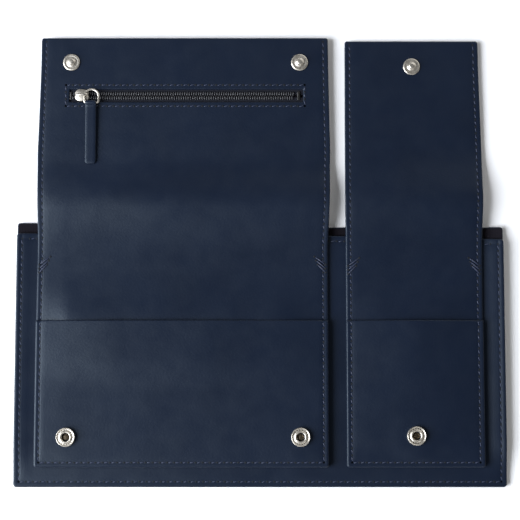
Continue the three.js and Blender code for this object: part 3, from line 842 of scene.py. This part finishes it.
def rounded_outline(points, r, steps=5):
    """The corners of an outline, rounded."""
    result = []
    n = len(points)
    for k in range(n):
        p = np.array(points[k], float)
        a = np.array(points[k - 1], float) - p
        b = np.array(points[(k + 1) % n], float) - p
        reach = min(r, np.hypot(*a) * 0.45, np.hypot(*b) * 0.45)
        a = p + a / np.hypot(*a) * reach
        b = p + b / np.hypot(*b) * reach
        for t in np.linspace(0, 1, steps):
            result.append(tuple((1 - t) ** 2 * a + 2 * t * (1 - t) * p + t * t * b))
    return result


FACE = LEFT.face
TAPE_TOP = FACE - 1.05
COIL_PITCH = 1.12
# A loop of the coil, from its outer side over the top to the middle of the zip: how far it leans
# along the zip, its distance from the zip's middle line, its height on the tape, and its radius.
COIL_LOOP = ((0.12, 1.95, 0.25, 0.2), (0.1, 1.7, 0.52, 0.26), (0.04, 1.15, 0.84, 0.31),
             (0, 0.6, 0.7, 0.28), (-0.02, 0.12, 0.5, 0.25))


def coil_loops(sign):
    """The loops on one side of the zip, half a pitch apart from those on the other side."""
    offset = 0.5 if sign > 0 else 0.0
    radii = [r for _, _, _, r in COIL_LOOP]
    loops = []
    for k in range(int((ZIP_X1 - ZIP_X0 - 4.2) / COIL_PITCH)):
        x = ZIP_X0 + 1.8 + COIL_PITCH * (k + offset)
        path = [(x + lean, ZIP_Y + sign * out, TAPE_TOP + up) for lean, out, up, _ in COIL_LOOP]
        loops.append(tube(path, radii, 7, False, 0.85))
    return loops


def zip_sides():
    """The tape and the coil on both sides, as (piece, node, slot)."""
    pieces = []
    for name, sign in (("lower", -1), ("upper", 1)):
        y0, y1 = sorted((ZIP_Y + sign * 0.6, ZIP_Y + sign * 9.6))
        x0, x1 = ZIP_X0 - 3.5, ZIP_X1 + 3.5
        tape = sheet(f"zip_tape_{name}_cloth", ticks(x0, x1, 4), ticks(y0, y1, 0.8),
                     (x0, x1, y0, y1), (0,) * 4, flat_at(TAPE_TOP), flat_at(0.35), TAPE)
        coil = gather(f"zip_coil_{name}_loops", coil_loops(sign), COIL)
        pieces += [(tape, f"zip_tape_{name}", "zip_tape"), (coil, f"zip_coil_{name}", "zip_coil")]
    return pieces


def zip_stops():
    pieces = []
    for name, x0, x1, half in (("top", ZIP_X0 + 0.3, ZIP_X0 + 1.3, 2.0),
                               ("bottom", ZIP_X1 - 2.1, ZIP_X1 - 0.7, 2.2)):
        y0, y1 = ZIP_Y - half, ZIP_Y + half
        outline = rounded_outline([(x0, y0), (x1, y0), (x1, y1), (x0, y1)], 0.4)
        clip = (outline, TAPE_TOP + 0.1, FACE - 0.35)
        stop = bevelled(f"zip_{name}_stop_clip", [clip], STOP_METAL, 0.15)
        pieces.append((stop, f"zip_{name}_stop", "nickel"))
    return pieces


def zip_bag():
    """The bag's two walls, which follow the flap's leather at a depth below its face."""
    zip_middle = (ZIP_X0 + ZIP_X1) / 2
    x0, x1, y0 = zip_middle - 60.5, zip_middle + 60.5, ZIP_Y - 49
    pieces = []
    for side, depth, above, node in (("rear", 1.9, 9.0, "zip_bag"), ("front", 1.45, -5.0, None)):
        y1 = ZIP_Y + above
        wall = sheet(f"zip_bag_{side}_cloth", ticks(x0, x1, 6), ticks(y0, y1, 3), (x0, x1, y0, y1),
                     (1.0,) * 4, lambda X, Y, d=depth: LEFT.top(X, Y) - d, flat_at(0.2), LINING)
        pieces.append((wall, node, "lining"))
    return pieces


def zip_frame_seam():
    """The stitches round the slot, and dark discs painted as the shade of their needle holes."""
    x0, x1, y0, y1 = ZIP_X0 - 1.6, ZIP_X1 + 1.6, ZIP_Y - 5.2, ZIP_Y + 5.2
    ring = [(x0, y0), (x1, y0), (x1, y1), (x0, y1)]
    threads, holes = [], []
    for start, end in zip(ring, ring[1:] + ring[:1]):
        t, h = stitch_line(start, end, LEFT.top)
        threads += t
        holes += h
    return [(gather("zip_frame_stitches", threads, THREAD), "zip_seam", "thread"),
            (gather("zip_frame_needle_holes", holes, HOLE_SHADE), None, "leather")]


for piece, node, slot in zip_sides() + zip_stops() + zip_bag() + zip_frame_seam():
    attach(piece, "left_flap")
    if node:
        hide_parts(node)

# ---------------------------------------------------------------- the slider and its pull
SLIDER_X = middle("slider_body")[0]
SLIDER_LONG, SLIDER_WIDE = 3.3, 3.1  # half sizes
# The bridge that holds the ring, as (x from the slider's middle, z above the flap).
BRIDGE = [(-2.9, 0.8), (-2.9, 1.5), (-2.7, 2.05), (-2.2, 2.45), (-1.5, 2.63), (0, 2.66),
          (1.7, 2.63), (2.4, 2.45), (2.8, 2.05), (2.95, 1.5), (2.95, 0.8)]
BRIDGE_WIRE, BRIDGE_WIDEN = 0.28, 2.3
RING = {"half": 3.4, "bar": -3.8, "arc": -0.75, "corner": 0.8, "wire": 0.5}
TAB = {"length": 29.8, "width": 5.2, "ply": 0.6, "loop": 0.94, "half_gap": 0.33, "lean": 1.5,
       "round_ends": 1.4, "bevel": 0.16}


def plate(x0, x1, y0, y1):
    """A rectangle's outline, from the slider's middle."""
    return [(SLIDER_X + x, ZIP_Y + y) for x, y in ((x0, y0), (x1, y0), (x1, y1), (x0, y1))]


def slider():
    a, b = SLIDER_LONG, SLIDER_WIDE
    nose = [(-a, -b * 0.55), (-a * 0.45, -b), (a, -b * 0.78), (a, b * 0.78), (-a * 0.45, b),
            (-a, b * 0.55)]
    outline = [(SLIDER_X + x, ZIP_Y + y) for x, y in rounded_outline(nose, 1.1)]
    parts = [(outline, FACE + 0.15, FACE + 0.98), (outline, FACE - 1.9, FACE - 1.5),
             (plate(-a * 0.4, a * 0.9, -b * 0.8, -2.2), FACE - 0.8, FACE + 0.5),
             (plate(-a * 0.4, a * 0.9, 2.2, b * 0.8), FACE - 0.8, FACE + 0.5),
             (plate(-a * 0.9, -a * 0.4, -0.2, 0.2), FACE - 1.7, FACE + 0.5)]
    body = bevelled("zip_slider_plates", parts, NICKEL, 0.14)
    path = [(SLIDER_X + x, ZIP_Y, FACE + z) for x, z in BRIDGE]
    points, faces = tube(path, BRIDGE_WIRE, 12, False)
    points = [(x, ZIP_Y + (y - ZIP_Y) * BRIDGE_WIDEN, z) for x, y, z in points]
    bridge = gather("zip_slider_bridge", [(points, faces)], NICKEL)
    for piece in (body, bridge):
        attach(piece, "zip_slider")
    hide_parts("slider_body")


def pull_ring():
    """A D of bent wire, lying flat: a half circle, and a straight bar that the tab hangs on."""
    half, bar, corner = RING["half"], RING["bar"], RING["corner"]
    centre_x = BRIDGE_X + half
    inner = half - corner
    turns = [(0, RING["arc"], half, 0, 180, 28), (-inner, bar + corner, corner, 180, 270, 6),
             (inner, bar + corner, corner, 270, 360, 6)]
    path = []
    for cx, cy, r, start, end, steps in turns:
        for k in range(steps + 1):
            a = math.radians(start + (end - start) * k / steps)
            path.append((centre_x + cx + r * math.cos(a), ZIP_Y + cy + r * math.sin(a), RING_Z))
    ring = gather("pull_ring_wire", [tube(path, RING["wire"], 14)], NICKEL)
    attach(ring, "pull_ring")
    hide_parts("pull_ring")


def pull_tab():
    """A strip of leather doubled round the ring's bar, leaning down a little from it."""
    length, loop, gap = TAB["length"], TAB["loop"], TAB["half_gap"]
    lean = math.radians(TAB["lean"])
    tail = [(-length + d, gap) for d in (0, 0.1, 0.25, 0.5, 0.9, 1.4, 2)]
    tail += [(-length + 2 + k * (length - 4.2) / 18, gap) for k in range(1, 19)]
    turns = np.linspace(math.radians(150), math.radians(-150), 22)
    around = [(loop * math.cos(a), loop * math.sin(a)) for a in turns]
    path = tail + around + [(y, -z) for y, z in tail[::-1]]
    leaning = [(y * math.cos(lean) - z * math.sin(lean), y * math.sin(lean) + z * math.cos(lean))
               for y, z in path]
    x, bar_y, _ = pivot("pull_tab_swing")
    tab = strap("pull_tab_leather", [(bar_y + y, RING_Z + z) for y, z in leaning], TAB["width"],
                TAB["ply"], LEATHER, TAB["round_ends"], x, TAB["bevel"])
    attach(tab, "pull_tab")
    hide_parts("pull_tab")


slider()
pull_ring()
pull_tab()

# ---------------------------------------------------------------- floor, light and camera
FLOOR_HALF, FLOOR_Z = 1500, -0.02
FADE_FROM, FADE_TO = 0.4, 1.1  # metres from the middle where the floor fades away
CAMERA_ELEVATION = math.radians(84.5)
CAMERA_DISTANCE = 0.65
CAMERA_LENS = 94.0
CAMERA_AIM = (0.0, -0.0009, 0.006)


def floor():
    material, nodes, links, surface = shader("pale_floor", Roughness=0.85)
    tint = grey_ramp(nodes, links, noise(nodes, links, 6, 2), 0.93, 0.95)
    links.new(tint, surface.inputs["Base Color"])
    place = nodes.new("ShaderNodeTexCoord")
    away = nodes.new("ShaderNodeVectorMath")
    away.operation = "LENGTH"
    links.new(place.outputs["Object"], away.inputs[0])
    fade = nodes.new("ShaderNodeMapRange")
    fade.interpolation_type = "SMOOTHSTEP"
    fade.inputs["From Min"].default_value = FADE_FROM
    fade.inputs["From Max"].default_value = FADE_TO
    links.new(away.outputs["Value"], fade.inputs["Value"])
    blend = nodes.new("ShaderNodeMixShader")
    links.new(fade.outputs["Result"], blend.inputs[0])
    links.new(surface.outputs[0], blend.inputs[1])
    links.new(nodes.new("ShaderNodeBsdfTransparent").outputs[0], blend.inputs[2])
    links.new(blend.outputs[0], nodes["Material Output"].inputs["Surface"])
    size, z = FLOOR_HALF, FLOOR_Z
    outline = [(-size, -size, z), (size, -size, z), (size, size, z), (-size, size, z)]
    new_piece("floor", outline, [(0, 1, 2, 3)], material, flat=True)


def softbox(name, place, size, power, colour=(1, 1, 1)):
    """A soft rectangular lamp, placed in metres and aimed at the object."""
    data = bpy.data.lights.new(name, "AREA")
    data.shape = "RECTANGLE"
    data.size, data.size_y = size
    data.energy = power
    data.color = colour
    lamp = bpy.data.objects.new(name, data)
    bpy.context.collection.objects.link(lamp)
    lamp.location = place
    lamp.rotation_euler = (-Vector(place)).to_track_quat("-Z", "Y").to_euler()


def backdrop():
    """A studio that is pale round the horizon and dim overhead."""
    world = bpy.data.worlds.new("studio")
    bpy.context.scene.world = world
    world.use_nodes = True
    nodes, links = world.node_tree.nodes, world.node_tree.links
    sky = nodes.new("ShaderNodeTexCoord")
    height = nodes.new("ShaderNodeSeparateXYZ")
    links.new(sky.outputs["Generated"], height.inputs[0])
    dome = grey_ramp(nodes, links, height.outputs["Z"], 0.95, 0.1, 0.1, 0.34)
    links.new(dome, nodes["Background"].inputs["Color"])
    nodes["Background"].inputs["Strength"].default_value = 1.0


def camera():
    data = bpy.data.cameras.new("camera")
    data.lens = CAMERA_LENS
    data.sensor_width = 36
    viewer = bpy.data.objects.new("camera", data)
    bpy.context.collection.objects.link(viewer)
    back = Vector((0, -math.cos(CAMERA_ELEVATION), math.sin(CAMERA_ELEVATION)))
    viewer.location = Vector(CAMERA_AIM) + back * CAMERA_DISTANCE
    viewer.rotation_euler = (-back).to_track_quat("-Z", "Y").to_euler()
    bpy.context.scene.camera = viewer
    bpy.context.scene.view_settings.view_transform = "Standard"


floor()
softbox("key", (-0.95, -0.3, 0.75), (1.0, 1.0), 40, (0.94, 0.98, 1.05))
softbox("fill", (0.6, 0.9, 0.5), (1.2, 0.9), 4)
softbox("fill_low", (0.5, -1.1, 0.5), (0.8, 0.5), 2)
backdrop()
camera()
